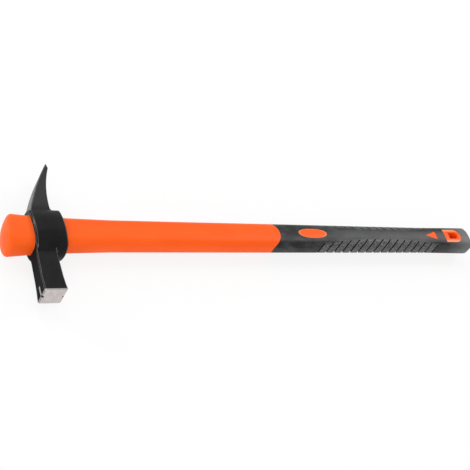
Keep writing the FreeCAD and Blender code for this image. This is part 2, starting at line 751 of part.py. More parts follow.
both_grooves.MirrorPlane = (groove_sketch, ["H_Axis"])
sleeve.addObject(both_grooves)
doc.recompute()
loft(sleeve, "groove_floor", "PartDesign::AdditiveLoft", GRIP, "(-Sizes.groove_depth)")

front_sketch = new_sketch(sleeve, "front_outline", "XY_Plane")
past_front = "(Sizes.grip_start_station - Sizes.overrun)"
add_outline(front_sketch, tongue_corners(past_front, "(2 * Sizes.overrun)"))
doc.recompute()
cut_through(sleeve, "front_edge", front_sketch)

# The butt's corners are rounded in the broad view, outside the line of the sleeve's edges.
butt_sketch = new_sketch(sleeve, "butt_outline", "XY_Plane")
half_butt = "(Sizes.butt_height / 2)"
corner_start = f"({BUTT} - Sizes.butt_corner_radius)"
past_side = f"({half_butt} + Sizes.overrun)"
corner_side = f"({half_butt} - Sizes.butt_corner_radius)"
for side, turn in (("", True), ("-", False)):
    add_outline(butt_sketch, [
        corner(corner_start, f"({side}{half_butt})"),
        corner(corner_start, f"({side}{past_side})"),
        corner(PAST_BUTT, f"({side}{past_side})"),
        corner(PAST_BUTT, f"({side}{corner_side})"),
        corner(BUTT, f"({side}{corner_side})", "arc", "Sizes.butt_corner_radius", left=turn),
    ])
doc.recompute()
rounded = cut_through(sleeve, "butt_corners", butt_sketch)
butt_start = number_of(corner_start) - SLACK
butt_rim = edges_where(
    rounded,
    lambda edge: edge.BoundBox.XMin > butt_start
    and abs(middle_of(edge).z) > number_of("Sizes.butt_thickness / 4"),
)
dress(sleeve, "PartDesign::Fillet", "butt_rim", rounded, butt_rim, "Radius",
      "Sizes.butt_edge_fillet")

window_cut = new_sketch(sleeve, "window_outlines", "XY_Plane")
add_windows(window_cut)
doc.recompute()
cut_through(sleeve, "windows", window_cut)
loft(sleeve, "core_cavity", "PartDesign::SubtractiveLoft", CORE, "(-Sizes.sleeve_wall)")


# The bond: adhesive that fills the gap between the jacket and the eye

bond = new_body("eye_bond", HEAD_X, AXIS_Y, MIDDLE_Z)
loft(bond, "bond_outside", "PartDesign::AdditiveLoft", EYE, "Sizes.bond_thickness")
loft(bond, "bond_inside", "PartDesign::SubtractiveLoft", EYE)


# Checks, and one file for each sub-part

doc.recompute()
for item in doc.Objects:
    if "Invalid" in item.State or "Error" in item.State:
        raise RuntimeError(f"{item.Label} did not build: {item.State}")

os.makedirs("parts", exist_ok=True)
for body in (head, jacket, sleeve, rod, bond):
    if body.Shape.isNull() or not body.Shape.isValid():
        raise RuntimeError(f"{body.Label} has no valid shape")
    body.Shape.exportStep(f"parts/{body.Label}.step")
    print(body.Label, len(body.Shape.Solids), "solid", round(body.Shape.Volume / 1000, 1), "cm3")
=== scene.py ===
"""Look of a carpenter hammer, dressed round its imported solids.

The hammer lies on its side on a pale floor: the handle runs along X with the butt at +X, the claw
points to +Y and the striking face to -Y. All lengths are in metres and all places are in the frame
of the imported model.
"""

from __future__ import annotations

import logging
import math
from dataclasses import dataclass, field
from enum import Enum
from typing import Callable, Union

import bmesh
import bpy
from mathutils import Matrix, Vector

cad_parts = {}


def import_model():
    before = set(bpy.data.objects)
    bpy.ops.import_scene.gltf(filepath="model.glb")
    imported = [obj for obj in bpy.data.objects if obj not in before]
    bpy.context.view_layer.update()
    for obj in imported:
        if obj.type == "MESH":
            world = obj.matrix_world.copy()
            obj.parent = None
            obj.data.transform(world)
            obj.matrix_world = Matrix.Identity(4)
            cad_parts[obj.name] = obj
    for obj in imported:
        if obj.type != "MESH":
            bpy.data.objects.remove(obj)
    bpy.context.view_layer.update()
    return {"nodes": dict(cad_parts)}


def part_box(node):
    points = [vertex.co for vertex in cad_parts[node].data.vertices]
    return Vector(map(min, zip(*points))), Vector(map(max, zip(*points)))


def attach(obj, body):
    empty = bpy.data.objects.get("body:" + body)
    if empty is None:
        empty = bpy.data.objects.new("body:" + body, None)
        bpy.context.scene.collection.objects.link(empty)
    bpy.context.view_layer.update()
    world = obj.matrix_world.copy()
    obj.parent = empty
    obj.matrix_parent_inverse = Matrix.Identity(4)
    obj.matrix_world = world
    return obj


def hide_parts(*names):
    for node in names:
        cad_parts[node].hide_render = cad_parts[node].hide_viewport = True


LOG = logging.getLogger("carpenter_hammer")
MM = 0.001
WHITE = (1.0, 1.0, 1.0, 1.0)
CREASE = math.radians(24)
MERGE_DISTANCE = 0.002 * MM

Number = Union[float, "Shade"]
Socket = bpy.types.NodeSocket
Colour = tuple[float, float, float, float]
Paint = Union[Colour, Socket]
Span = tuple[float, float]


def rgb(red: float, green: float, blue: float) -> Colour:
    """Return an opaque colour from three linear values."""
    return (red, green, blue, 1.0)


# Node trees as expressions


class Operation(Enum):
    """The arithmetic that a Math node does for a shade."""

    ADD = "ADD"
    SUBTRACT = "SUBTRACT"
    MULTIPLY = "MULTIPLY"
    DIVIDE = "DIVIDE"
    POWER = "POWER"
    ABSOLUTE = "ABSOLUTE"
    MAXIMUM = "MAXIMUM"


@dataclass(frozen=True)
class Grain:
    """A cloudy pattern: the size of a cloud, its finer layers, and its stretch along each axis."""

    size: float
    detail: float = 3.0
    stretch: tuple[float, float, float] = (1.0, 1.0, 1.0)


@dataclass(frozen=True)
class Relief:
    """How far a pattern stands out in the shading: its height, and the share that is used."""

    height: float
    strength: float = 0.5


class Shade:
    """A number that changes over a surface: one socket, with arithmetic that adds Math nodes."""

    def __init__(self, wiring: Wiring, socket: Socket) -> None:
        """Wrap a socket.

        Args:
            wiring: The node tree that the socket belongs to.
            socket: The output socket that holds the number.
        """
        self.wiring = wiring
        self.socket = socket

    def _math(self, operation: Operation, first: Number, second: Number) -> Shade:
        """Work out two numbers with one Math node.

        Args:
            operation: What the node does.
            first: Its first number.
            second: Its second number.

        Returns:
            The result.
        """
        settings = {"operation": operation.value}
        node = self.wiring.node("ShaderNodeMath", settings, {0: first, 1: second})
        return Shade(self.wiring, node.outputs[0])

    def __add__(self, other: Number) -> Shade:
        """Add."""
        return self._math(Operation.ADD, self, other)

    __radd__ = __add__

    def __sub__(self, other: Number) -> Shade:
        """Take the other away from this."""
        return self._math(Operation.SUBTRACT, self, other)

    def __rsub__(self, other: Number) -> Shade:
        """Take this away from the other."""
        return self._math(Operation.SUBTRACT, other, self)

    def __mul__(self, other: Number) -> Shade:
        """Multiply."""
        return self._math(Operation.MULTIPLY, self, other)

    __rmul__ = __mul__

    def __truediv__(self, other: Number) -> Shade:
        """Divide."""
        return self._math(Operation.DIVIDE, self, other)

    def __pow__(self, other: Number) -> Shade:
        """Raise to a power."""
        return self._math(Operation.POWER, self, other)

    def __abs__(self) -> Shade:
        """Return the size without the sign."""
        return self._math(Operation.ABSOLUTE, self, 0.0)

    def most(self, other: Number) -> Shade:
        """Return the larger of two numbers."""
        return self._math(Operation.MAXIMUM, self, other)

    def blend(self, other: Number, share: Number) -> Shade:
        """Go from this number at a share of 0 to the other at a share of 1."""
        return self + (other - self) * share

    def spread(self, low: float, high: float) -> Shade:
        """Stretch a pattern of 0 to 1, so that it runs from one value to another."""
        return self * (high - low) + low

    def step(self, low: float, high: float) -> Shade:
        """Return a mask that goes smoothly from 0 at one value to 1 at another.

        Args:
            low: The value where the mask is 0.
            high: The value where the mask is 1. It may be below low.

        Returns:
            The mask.
        """
        if low > high:
            return 1.0 - self.step(high, low)
        node = self.wiring.node(
            "ShaderNodeMapRange",
            {"interpolation_type": "SMOOTHSTEP", "clamp": True},
            {"Value": self, "From Min": low, "From Max": high},
        )
        return Shade(self.wiring, node.outputs["Result"])


class Wiring:
    """A node tree under construction."""

    def __init__(self, tree: bpy.types.NodeTree) -> None:
        """Take up a node tree."""
        self.tree = tree

    def link(self, source: Union[Shade, Socket], target: Socket) -> None:
        """Link a shade or an output socket to an input socket."""
        output = source.socket if isinstance(source, Shade) else source
        self.tree.links.new(output, target)

    def node(self, kind: str, settings: dict, values: dict) -> bpy.types.Node:
        """Add one node, set it up, and fill or link its sockets.

        Args:
            kind: The node's type.
            settings: Properties of the node, set before its sockets.
            values: Socket name or number to a plain value, a socket or a Shade.

        Returns:
            The node.
        """
        node = self.tree.nodes.new(kind)
        for name, value in settings.items():
            setattr(node, name, value)
        for name, value in values.items():
            if isinstance(value, (Shade, Socket)):
                self.link(value, node.inputs[name])
            else:
                node.inputs[name].default_value = value
        return node

    def split(self, vector: Socket) -> tuple[Shade, ...]:
        """Return the X, Y and Z of a vector."""
        node = self.node("ShaderNodeSeparateXYZ", {}, {0: vector})
        return tuple(Shade(self, node.outputs[axis]) for axis in "XYZ")

    def seen_directly(self) -> Shade:
        """Find the rays that show a thing, apart from those that only carry light.

        Returns:
            1 for the camera's own rays and for what gloss and glass show, and 0 for light.
        """
        ray = self.node("ShaderNodeLightPath", {}, {})
        names = ("Is Camera Ray", "Is Glossy Ray", "Is Transmission Ray")
        camera, glossy, through = (Shade(self, ray.outputs[name]) for name in names)
        return camera.most(glossy).most(through)


class Board(Wiring):
    """One material under construction: its node tree, and the patterns read on it."""

    samples: int = 8
    noise_roughness: float = 0.55
    edge_match: Span = (0.995, 0.93)

    def __init__(self, name: str) -> None:
        """Start a material with a single shader.

        Args:
            name: The material's name.
        """
        self.material = bpy.data.materials.new(name)
        self.material.use_nodes = True
        super().__init__(self.material.node_tree)
        self.shader = self.tree.nodes["Principled BSDF"]
        origin = self.node("ShaderNodeTexCoord", {}, {})
        self.place = origin.outputs["Object"]
        self.x, self.y, self.z = self.split(self.place)
        self.facing_x = self.split(origin.outputs["Normal"])[0]

    def noise(self, grain: Grain) -> Shade:
        """Return a cloudy pattern between 0 and 1.

        Args:
            grain: The pattern's size and shape.

        Returns:
            The pattern.
        """
        scale = tuple(1.0 / (grain.size * length) for length in grain.stretch)
        mapping = self.node("ShaderNodeMapping", {}, {"Vector": self.place, "Scale": scale})
        values = {"Vector": mapping.outputs[0], "Scale": 1.0, "Detail": grain.detail}
        values["Roughness"] = self.noise_roughness
        return Shade(self, self.node("ShaderNodeTexNoise", {}, values).outputs[0])

    def cells(self, size: float) -> Shade:
        """Return the distance to the nearest of many scattered points, as a share of the size."""
        values = {"Vector": self.place, "Scale": 1.0 / size}
        return Shade(self, self.node("ShaderNodeTexVoronoi", {}, values).outputs["Distance"])

    def hollows(self, reach: float) -> Shade:
        """Return 1 on open surface, and less in grooves and corners of the same piece.

        Args:
            reach: How far away a wall still counts, in metres.

        Returns:
            The pattern.
        """
        settings = {"samples": self.samples, "only_local": True}
        node = self.node("ShaderNodeAmbientOcclusion", settings, {"Distance": reach})
        return Shade(self, node.outputs["AO"])

    def rounded(self, radius: float) -> tuple[Socket, Shade]:
        """Round the edges in the shading, and find them.

        Args:
            radius: The radius of the rounding, in metres.

        Returns:
            The rounded normal, and a mask that is 1 along the edges.
        """
        bevel = self.node("ShaderNodeBevel", {"samples": self.samples}, {"Radius": radius})
        true = self.node("ShaderNodeNewGeometry", {}, {})
        match = self.node(
            "ShaderNodeVectorMath",
            {"operation": "DOT_PRODUCT"},
            {0: bevel.outputs[0], 1: true.outputs["Normal"]},
        )
        edges = Shade(self, match.outputs["Value"]).step(*self.edge_match)
        return bevel.outputs[0], edges

    def mix(self, mask: Number, first: Paint, second: Paint) -> Socket:
        """Blend two colours.

        Args:
            mask: 0 for the first colour, 1 for the second.
            first: A colour or a colour socket.
            second: A colour or a colour socket.

        Returns:
            The blended colour's socket.
        """
        values = {0: mask, 6: first, 7: second}
        return self.node("ShaderNodeMix", {"data_type": "RGBA"}, values).outputs[2]

    def bump(self, pattern: Shade, relief: Relief, under: Union[Socket, None] = None) -> Socket:
        """Return a normal pushed by a pattern.

        Args:
            pattern: The pattern, 0 to 1.
            relief: How far it stands out.
            under: A normal that the bump is added to.

        Returns:
            The normal's socket.
        """
        values = {"Height": pattern, "Distance": relief.height, "Strength": relief.strength}
        if under is not None:
            values["Normal"] = under
        return self.node("ShaderNodeBump", {}, values).outputs[0]

    def finish(self, plain: dict, varied: dict) -> bpy.types.Material:
        """Fill the shader's sockets and hand over the material.

        Args:
            plain: Socket name to one value for the whole surface.
            varied: Socket name to a Shade or socket that changes over the surface.

        Returns:
            The material.
        """
        for name, value in plain.items():
            self.shader.inputs[name].default_value = value
        for name, value in varied.items():
            self.link(value, self.shader.inputs[name])
        return self.material


# Meshes


def fading(value: float, low: float, high: float) -> float:
    """Return a smooth step from 0 at one value to 1 at another."""
    share = min(max((value - low) / (high - low), 0.0), 1.0)
    return share * share * (3.0 - 2.0 * share)


def to_mesh(work: bmesh.types.BMesh, name: str) -> bpy.types.Mesh:
    """Turn a worked mesh into a stored one.

    Args:
        work: The worked mesh. It is freed.
        name: The stored mesh's name.

    Returns:
        The stored mesh.
    """
    mesh = bpy.data.meshes.new(name)
    work.to_mesh(mesh)
    work.free()
    return mesh


def put_in_scene(name: str, data: bpy.types.ID) -> bpy.types.Object:
    """Make an object that holds a mesh, a lamp or a camera.

    Args:
        name: The object's name.
        data: What it holds.

    Returns:
        The object, at the origin.
    """
    thing = bpy.data.objects.new(name, data)
    bpy.context.scene.collection.objects.link(thing)
    return thing


def as_packed(work: bmesh.types.BMesh) -> None:
    """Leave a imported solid's shape as it is."""


def smooth_copy(
    node: bpy.types.Object,
    name: str,
    crease: float,
    reshape: Callable[[bmesh.types.BMesh], None] = as_packed,
) -> bpy.types.Object:
    """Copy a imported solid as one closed, smoothly shaded mesh.

    Args:
        node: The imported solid's object.
        name: The copy's name.
        crease: The angle between faces, in radians, above which an edge stays sharp.
        reshape: A change to the merged mesh, before its edges are marked.

    Returns:
        The copy, at the origin.
    """
    work = bmesh.new()
    work.from_mesh(node.data)
    bmesh.ops.remove_doubles(work, verts=work.verts, dist=MERGE_DISTANCE)
    reshape(work)
    for face in work.faces:
        face.smooth = True
    for edge in work.edges:
        edge.smooth = edge.calc_face_angle(math.pi) < crease
    piece = put_in_scene(name, to_mesh(work, name))
    weighted = piece.modifiers.new("even_shading", "WEIGHTED_NORMAL")
    weighted.keep_sharp = True
    return piece


def paint_node(node: bpy.types.Object, material: bpy.types.Material) -> None:
    """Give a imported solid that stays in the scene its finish."""
    node.data.materials.clear()
    node.data.materials.append(material)


# Places on the handle


@dataclass(frozen=True)
class GripPlan:
    """Where the sleeve's grooves, windows and butt are, in the broad view."""

    start: float
    end: float
    axis_y: float
    middle_z: float
    half_width: float = 15 * MM
    groove_slope: float = 1.2
    reach_middle: float = 8.6 * MM
    reach_end: float = 3.2 * MM
    grooves_from_start: float = 57.6 * MM
    grooves_from_end: float = 56.2 * MM
    lens_from_start: float = 50.6 * MM
    lens_half_length: float = 18 * MM
    lens_half_width: float = 6.2 * MM
    lens_least_height: float = 5 * MM
    lens_widest: float = 1.01
    lens_neighbourhood: Span = (1.08, 1.7)

    @property
    def grooves_start(self) -> float:
        """The place of the first groove at the sleeve's edge."""
        return self.start + self.grooves_from_start

    @property
    def grooves_end(self) -> float:
        """The place of the last groove at the sleeve's edge."""
        return self.end - self.grooves_from_end

    @property
    def lens_x(self) -> float:
        """The place of the lens's middle."""
        return self.start + self.lens_from_start

    def across(self, board: Board) -> Shade:
        """Return the distance from the handle's axis in the broad view."""
        return abs(board.y - self.axis_y)

    def round_the_lens(self, work: bmesh.types.BMesh) -> None:
        """Turn the pointed lens into an oval with round ends, on both broad sides.

        Args:
            work: The mesh that holds the lens or its window.
        """
        for vert in work.verts:
            along = (vert.co.x - self.lens_x) / self.lens_half_length
            across = abs(vert.co.y - self.axis_y) / self.lens_half_width
            low = abs(vert.co.z - self.middle_z) < self.lens_least_height
            if low or across > self.lens_widest:
                continue
            near = 1.0 - fading(across + along * along, *self.lens_neighbourhood)
            along *= 1.0 + (math.sqrt(1.0 + across) - 1.0) * near
            vert.co.x = self.lens_x + along * self.lens_half_length


# Finishes


@dataclass(frozen=True)
class HeadPaint:
    """Black satin paint on a forging, with a bare ground striking face."""

    face_y: float
    middle_z: float
    face_x: float = -243.8 * MM
    black: Colour = rgb(0.003, 0.003, 0.0032)
    worn_black: Colour = rgb(0.007, 0.007, 0.0075)
    claw_light_grey: Colour = rgb(0.032, 0.032, 0.033)
    edge_highlight_grey: Colour = rgb(0.3, 0.3, 0.305)
    steel: Colour = rgb(0.66, 0.61, 0.61)
    steel_shade: Colour = rgb(0.5, 0.45, 0.44)
    shaded_chamfer_steel: Colour = rgb(0.36, 0.33, 0.33)
    rest_highlight_steel: Colour = rgb(0.75, 0.74, 0.74)
    claw_y: Span = (14 * MM, 26 * MM)
    poll_y: Span = (0.0, -20 * MM)
    narrow_facing: Span = (0.6, 0.85)
    ground_depth: float = 1.5 * MM
    ground_ragged: float = 0.35 * MM
    chamfer_depth: Span = (0.1 * MM, 0.3 * MM)
    rest_beside: Span = (8.2 * MM, 8.6 * MM)
    rest_half_width: Span = (1.35 * MM, 1.15 * MM)
    rest_length: Span = (12 * MM, 11 * MM)
    rest_floor_height: Span = (-0.5 * MM, -1.1 * MM)
    rest_floor_depth: Span = (2.0 * MM, 3.5 * MM)
    edge_radius: float = 0.55 * MM
    edge_highlight_share: float = 0.9
    edge_clouds: Span = (0.15, 0.4)
    worn_clouds: Span = (0.35, 0.7)
    claw_light_patches: Span = (0.6, 1.1)
    scratch_contrast: Span = (0.3, 0.7)
    clouds: Grain = Grain(14 * MM)
    peel: Grain = Grain(1.4 * MM, 2.0)
    forged: Grain = Grain(6 * MM, 2.0)
    scratches: Grain = Grain(0.6 * MM, 2.0, (1.0, 1.0, 14.0))
    ragged: Grain = Grain(2.2 * MM)
    peel_relief: Relief = Relief(0.04 * MM)
    forged_relief: Relief = Relief(0.1 * MM, 0.4)
    scratch_relief: Relief = Relief(0.02 * MM)
    paint_rough: Span = (0.23, 0.3)
    peel_rough: float = 0.04
    wear_and_highlight_rough: float = -0.03
    forged_rough: float = 0.55
    steel_rough: Span = (0.36, 0.52)
    gloss: float = 0.11

    def make(self) -> bpy.types.Material:
        """Build the material.

        Returns:
            The material.
        """
        board = Board("head_black_satin")
        clouds = board.noise(self.clouds)
        peel = board.noise(self.peel)
        scratches = board.noise(self.scratches)
        depth = board.y - self.face_y
        groove, floor = self._rests(board, depth)
        ground = self._ground(board, depth) * (1.0 - groove)
        smooth, edges = board.rounded(self.edge_radius)
        # Edge wear and painted highlight: a pale grey laid in patches along the rounded edges,
        # standing partly for light caught on them.
        wear_and_highlight = edges * clouds.step(*self.edge_clouds)

        fresh = board.mix(clouds.step(*self.worn_clouds), self.black, self.worn_black)
        # Painted light: the claw side is painted a paler grey in patches, standing for the light
        # that the claw's face catches.
        claw_light = board.y.step(*self.claw_y) * peel.spread(*self.claw_light_patches)
        paint = board.mix(claw_light, fresh, self.claw_light_grey)
        painted = board.mix(wear_and_highlight * self.edge_highlight_share, paint, self.edge_highlight_grey)
        # Painted highlight: the rests' lower walls are painted pale steel, standing for light
        # caught on them.
        rested = board.mix(floor, painted, self.rest_highlight_steel)
        scratched = scratches.step(*self.scratch_contrast)
        flat = board.mix(scratched, self.steel, self.steel_shade)
        # Painted shade: the ground chamfer round the face is painted a darker steel than the flat
        # face, standing for the shade it shows.
        bare = board.mix(depth.step(*self.chamfer_depth), flat, self.shaded_chamfer_steel)
        colour = board.mix(ground, rested, bare)

        narrow = abs(board.facing_x).step(*self.narrow_facing)
        as_forged = narrow * board.y.step(*self.poll_y) * (1.0 - wear_and_highlight)
        paint_rough = clouds.spread(*self.paint_rough) + peel * self.peel_rough
        paint_rough = paint_rough + wear_and_highlight * self.wear_and_highlight_rough + as_forged * self.forged_rough
        rough = paint_rough.blend(scratches.spread(*self.steel_rough), ground)

        waves = board.bump(board.noise(self.forged), self.forged_relief, smooth)
        skin = board.bump(peel, self.peel_relief, waves)
        lined = board.bump(scratches * ground, self.scratch_relief, skin)
        return board.finish(
            {"Specular IOR Level": self.gloss},
            {"Base Color": colour, "Roughness": rough, "Metallic": ground, "Normal": lined},
        )

    def _ground(self, board: Board, depth: Shade) -> Shade:
        """Find the ground end of the poll, with the paint's ragged edge.

        Args:
            board: The material.
            depth: The distance behind the striking face.

        Returns:
            A mask that is 1 on bare steel.
        """
        ragged = depth + (board.noise(self.ragged) - 0.5) * self.ground_ragged
        outer = self.ground_depth + self.ground_ragged
        inner = self.ground_depth - self.ground_ragged
        return ragged.step(outer, inner)

    def _rests(self, board: Board, depth: Shade) -> tuple[Shade, Shade]:
        """Find the nail rests in the poll's narrow sides.

        Args:
            board: The material.
            depth: The distance behind the striking face.

        Returns:
            A mask that is 1 in the rests, and one that is 1 on their lower walls, where a pale
            highlight is painted.
        """
        height = board.z - self.middle_z
        beside = abs(board.x - self.face_x).step(*self.rest_beside)
        groove = abs(height).step(*self.rest_half_width) * beside * depth.step(*self.rest_length)
        low = height.step(*self.rest_floor_height)
        return groove, groove * low * depth.step(*self.rest_floor_depth)


@dataclass(frozen=True)
class JacketPlastic:
    """Bright orange moulded plastic with a fine satin grain, with a painted pale highlight along
    the windows' edges.
    """

    plan: GripPlan
    orange: Colour = rgb(0.93, 0.1, 0.006)
    warm: Colour = rgb(0.95, 0.118, 0.009)
    rim_highlight: Colour = rgb(0.85, 0.42, 0.22)
    clouds: Grain = Grain(30 * MM, 2.0, (3.0, 1.0, 1.0))
    cloud_contrast: Span = (0.3, 0.7)
    fine: Grain = Grain(0.5 * MM, 2.0)
    flow: Grain = Grain(4 * MM, 2.0, (6.0, 1.0, 1.0))
    fine_relief: Relief = Relief(0.02 * MM)
    flow_relief: Relief = Relief(0.05 * MM, 0.3)
    lens_rim: Span = (0.75, 0.95)
    lens_end: Span = (1.3, 1.1)
    lens_highlight_share: float = 0.5
    ring_across: Span = (5 * MM, 7 * MM)
    ring_from_end: Span = (40 * MM, 36 * MM)
    ring_highlight_share: float = 0.6
    rough: Span = (0.38, 0.46)
    flow_rough: float = 0.05
    gloss: float = 0.16

    def make(self) -> bpy.types.Material:
        """Build the material.

        Returns:
            The material.
        """
        board = Board("jacket_orange_plastic")
        clouds = board.noise(self.clouds)
        fine = board.noise(self.fine)
        flow = board.noise(self.flow)
        # Painted highlight: a pale tan along the rims of the lens and the ring, standing for light
        # caught on their bevels.
        rim_highlights = self._lens_rim(board) * self.lens_highlight_share
        rim_highlights = rim_highlights + self._ring_rim(board) * self.ring_highlight_share
        plain = board.mix(clouds.step(*self.cloud_contrast), self.orange, self.warm)
        colour = board.mix(rim_highlights, plain, self.rim_highlight)
        rough = fine.spread(*self.rough) + flow * self.flow_rough
        skin = board.bump(fine, self.fine_relief, board.bump(flow, self.flow_relief))
        return board.finish(
            {"Specular IOR Level": self.gloss},
            {"Base Color": colour, "Roughness": rough, "Normal": skin},
        )

    def _lens_rim(self, board: Board) -> Shade:
        """Find the rim of the lens, where a pale highlight is painted.

        Args:
            board: The material.

        Returns:
            A mask that is 1 on the rim.
        """
        along = (board.x - self.plan.lens_x) / self.plan.lens_half_length
        across = self.plan.across(board) / self.plan.lens_half_width
        oval = along * along + across ** 2.0
        return oval.step(*self.lens_rim) * abs(along).step(*self.lens_end)

    def _ring_rim(self, board: Board) -> Shade:
        """Find the rim of the ring round the hang hole, where a pale highlight is painted.

        Args:
            board: The material.

        Returns:
            A mask that is 1 on the rim.
        """
        begin, full = (self.plan.end - length for length in self.ring_from_end)
        return self.plan.across(board).step(*self.ring_across) * board.x.step(begin, full)


@dataclass(frozen=True)
class GripRubber:
    """Black moulded rubber with a fine speckle, paler rubbed lands, a painted sheen band along the
    broad sides, a painted sheen on the butt and painted shade in the grooves.
    """

    plan: GripPlan
    black: Colour = rgb(0.007, 0.007, 0.0075)
    # A mottled paler grey of the rubber, with no highlight painted in it.
    wear_and_highlight: Colour = rgb(0.05, 0.05, 0.052)
    sheen_grey: Colour = rgb(0.065, 0.066, 0.068)
    land_grey: Colour = rgb(0.16, 0.16, 0.162)
    butt_sheen_grey: Colour = rgb(0.16, 0.161, 0.165)
    groove_shade_black: Colour = rgb(0.001, 0.001, 0.001)
    clouds: Grain = Grain(9 * MM, 3.0, (2.0, 1.0, 1.0))
    cloud_contrast: Span = (0.4, 0.7)
    speckle: Grain = Grain(0.45 * MM, 2.0)
    speckle_contrast: Span = (0.5, 0.75)
    speckle_share: float = 0.3
    gravel: Grain = Grain(1.1 * MM, 1.0)
    gravel_contrast: Span = (0.38, 0.62)
    grit_contrast: Span = (0.42, 0.6)
    grit_share: float = 0.25
    pit: float = 0.8 * MM
    speckle_relief: Relief = Relief(0.05 * MM, 0.7)
    pit_relief: Relief = Relief(0.04 * MM)
    groove_shade_reach: float = 3.0 * MM
    groove_shade_openness: Span = (0.95, 0.78)
    sheen_across: Span = (8 * MM, 2 * MM)
    sheen_growth: float = 45 * MM
    sheen_clouds: Span = (0.55, 1.15)
    butt_from_end: Span = (40 * MM, 8 * MM)
    butt_sheen_clouds: Span = (0.5, 1.0)
    land_fade: float = 2.2 * MM
    bow_fade: float = 0.02
    rough: Span = (0.38, 0.52)
    pit_rough: float = -0.05
    hollow_rough: float = 0.4
    gloss: float = 0.2

    def make(self) -> bpy.types.Material:
        """Build the material.

        Returns:
            The material.
        """
        board = Board("grip_black_rubber")
        clouds = board.noise(self.clouds)
        speckle = board.noise(self.speckle)
        gravel = board.noise(self.gravel)
        pits = board.cells(self.pit)
        # Painted shade: the grooves, found by how shut in they are, are painted near black and
        # made metallic so that they reflect next to nothing, standing for the shade that falls in
        # them.
        groove_shade = board.hollows(self.groove_shade_reach).step(*self.groove_shade_openness)

        speckled = speckle.step(*self.speckle_contrast)
        cloudy = clouds.step(*self.cloud_contrast).blend(speckled, self.speckle_share)
        smooth = board.mix(cloudy, self.black, self.wear_and_highlight)
        lens_x = self.plan.lens_x
        # Painted sheen: a paler grey band along the middle of the broad sides, standing for the
        # light the rubber reflects there.
        sheen_band = self.plan.across(board).step(*self.sheen_across)
        sheen_band = sheen_band * board.x.step(lens_x, lens_x + self.sheen_growth)
        sheen_band = sheen_band * clouds.spread(*self.sheen_clouds)
        with_band_sheen = board.mix(sheen_band, smooth, self.sheen_grey)
        # Painted sheen: the butt end is painted a paler grey in patches, standing for the light it
        # reflects.
        begin, full = (self.plan.end - length for length in self.butt_from_end)
        butt = board.x.step(begin, full) * clouds.spread(*self.butt_sheen_clouds)
        with_sheen = board.mix(butt, with_band_sheen, self.butt_sheen_grey)
        grit = speckle.step(*self.grit_contrast)
        gritty = gravel.step(*self.gravel_contrast).blend(grit, self.grit_share)
        land = board.mix(self._lands(board) * gritty, with_sheen, self.land_grey)
        colour = board.mix(groove_shade, land, self.groove_shade_black)

        rough = speckle.spread(*self.rough) + pits * self.pit_rough + groove_shade * self.hollow_rough
        skin = board.bump(speckle, self.speckle_relief, board.bump(pits, self.pit_relief))
        return board.finish(
            {"Specular IOR Level": self.gloss},
            {"Base Color": colour, "Roughness": rough, "Metallic": groove_shade, "Normal": skin},
        )

    def _lands(self, board: Board) -> Shade:
        """Find the lands between the finger grooves.

        Args:
            board: The material.

        Returns:
            A mask that is 1 on the lands and 0 on the smooth rubber.
        """
        plan = self.plan
        inward = plan.half_width - plan.across(board)
        along = board.x - inward * plan.groove_slope
        share = (along - plan.grooves_start) / (plan.grooves_end - plan.grooves_start)
        bow = share * (1.0 - share) * 4.0
        reach = bow * (plan.reach_middle - plan.reach_end) + plan.reach_end
        within = (reach - inward).step(-self.land_fade, self.land_fade)
        return within * bow.step(-self.bow_fade, self.bow_fade)


@dataclass(frozen=True)
class RodFibreglass:
    """Pale fibreglass with strands along the handle."""

    resin: Colour = rgb(0.62, 0.57, 0.4)
    strand: Colour = rgb(0.82, 0.79, 0.68)
    strands: Grain = Grain(0.4 * MM, 2.0, (60.0, 1.0, 1.0))
    contrast: Span = (0.35, 0.65)
    relief: Relief = Relief(0.04 * MM)
    rough: Span = (0.4, 0.6)

    def make(self) -> bpy.types.Material:
        """Build the material.

        Returns:
            The material.
        """
        board = Board("rod_fibreglass")
        strands = board.noise(self.strands)
        colour = board.mix(strands.step(*self.contrast), self.resin, self.strand)
        rough = strands.spread(*self.rough)
        skin = board.bump(strands, self.relief)
        return board.finish({}, {"Base Color": colour, "Roughness": rough, "Normal": skin})


@dataclass(frozen=True)
class BondAdhesive:
    """Dull grey-brown adhesive with small voids."""

    body: Colour = rgb(0.2, 0.17, 0.13)
    pale: Colour = rgb(0.34, 0.31, 0.25)
    clouds: Grain = Grain(3 * MM)
    contrast: Span = (0.3, 0.7)
    void: float = 1.2 * MM
    relief: Relief = Relief(0.1 * MM)
    rough: Span = (0.55, 0.75)

    def make(self) -> bpy.types.Material:
        """Build the material.

        Returns:
            The material.
        """
        board = Board("bond_adhesive")
        voids = board.cells(self.void)
        cloudy = board.noise(self.clouds).step(*self.contrast)
        colour = board.mix(cloudy, self.body, self.pale)
        rough = voids.spread(*self.rough)
        skin = board.bump(voids, self.relief)
        return board.finish({}, {"Base Color": colour, "Roughness": rough, "Normal": skin})


# Sub-assemblies


@dataclass
class Head:
    """The forged head and the adhesive in its eye."""

    nodes: dict
    crease: float = CREASE

    def build(self) -> list[bpy.types.Object]:
        """Dress the head.

        Returns:
            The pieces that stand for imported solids.
        """
        low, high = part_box("hammer_head")
        forging = smooth_copy(self.nodes["hammer_head"], "forged_head", self.crease)
        paint = HeadPaint(face_y=low.y, middle_z=(low.z + high.z) / 2)
        forging.data.materials.append(paint.make())
        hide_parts("hammer_head")
        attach(forging, "root")
        paint_node(self.nodes["eye_bond"], BondAdhesive().make())
        return [forging]


@dataclass
class Handle:
    """The orange jacket, and the rod inside it."""

    nodes: dict
    plan: GripPlan
    crease: float = CREASE

    def build(self) -> list[bpy.types.Object]:
        """Dress the handle.

        Returns:
            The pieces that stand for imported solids.
        """
        node = self.nodes["handle_jacket"]
        jacket = smooth_copy(node, "orange_jacket", self.crease, self.plan.round_the_lens)
        jacket.data.materials.append(JacketPlastic(self.plan).make())
        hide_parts("handle_jacket")
        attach(jacket, "root")
        paint_node(self.nodes["core_rod"], RodFibreglass().make())
        return [jacket]


